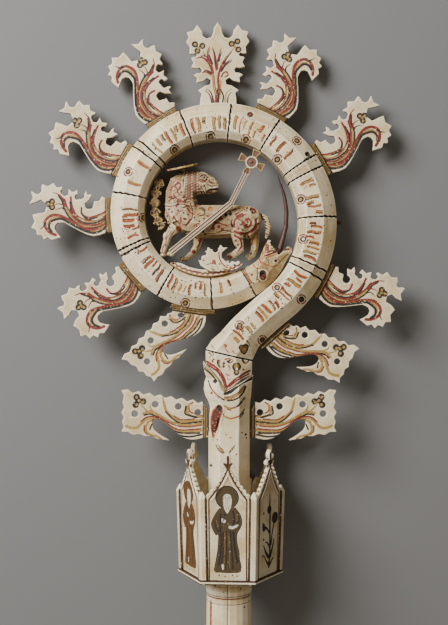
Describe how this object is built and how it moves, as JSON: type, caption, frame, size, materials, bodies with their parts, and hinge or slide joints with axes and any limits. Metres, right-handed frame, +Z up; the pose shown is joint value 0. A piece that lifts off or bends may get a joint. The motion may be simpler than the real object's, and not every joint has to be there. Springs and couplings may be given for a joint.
{
  "type": "crosier head",
  "caption": "Crosier head of carved, painted bone: a leafy spiral crook around a lamb, on a dragon-headed shaft with a gabled knop and a staff socket.",
  "frame": {"origin": "middle of the bounding box at its lowest level, the surface that the crosier head lies on, on its back", "axes": "+Y from the staff socket towards the top of the crook, +Z up, away from the surface, +X to the right as the painted front is seen from above. The shaft's own axis slopes 5.2 degrees down towards the top, because the knop lifts the lower end"},
  "size_m": [0.2628, 0.4354, 0.0737],
  "materials": {
    "bone": "polished bone, ivory to honey coloured, painted and gilt",
    "bone_in_shade": "bone, darker and worn",
    "gilt_bone": "bone with worn gilding and brown paint",
    "red_bone": "bone painted dark red"
  },
  "bodies": {
    "root": {"cross_staff": "gilt_bone", "dragon_shaft": "bone", "elbow": "bone", "gilt_spray": "gilt_bone", "ground_strip": "bone", "halo": "gilt_bone", "knop_base": "bone", "knop_panel_1": "bone", "knop_panel_2": "bone", "knop_panel_3": "bone", "knop_panel_4": "bone", "knop_panel_5": "bone", "knop_panel_6": "bone", "knop_pilaster_1": "bone", "knop_pilaster_2": "bone", "knop_pilaster_3": "bone", "knop_pilaster_4": "bone", "knop_pilaster_5": "bone", "knop_pilaster_6": "bone", "lamb": "bone", "leaf_bottom_left": "bone", "leaf_left": "bone", "leaf_left_low": "bone", "leaf_left_top": "bone", "leaf_leg_lower": "bone", "leaf_leg_upper": "bone", "leaf_right_top": "bone", "leaf_shaft_left": "bone", "leaf_shaft_right": "bone", "leaf_top": "bone", "leaf_top_left": "bone", "leaf_top_right": "bone", "leg_tube": "bone", "lost_leaf_pin": "red_bone", "lower_socket": "bone", "ring_tube_01": "bone", "ring_tube_02": "bone", "ring_tube_03": "bone", "ring_tube_04": "bone", "ring_tube_05": "bone", "ring_tube_06": "bone", "ring_tube_07": "bone", "ring_tube_08": "bone", "ring_tube_09": "bone", "ring_tube_10": "bone", "ring_tube_11": "bone", "serpent_head": "bone", "serpent_tongue": "red_bone", "spacer_ring_1": "bone_in_shade", "spacer_ring_2": "bone_in_shade", "spacer_ring_3": "bone_in_shade", "spacer_ring_4": "bone_in_shade"}
  },
  "joints": []
}
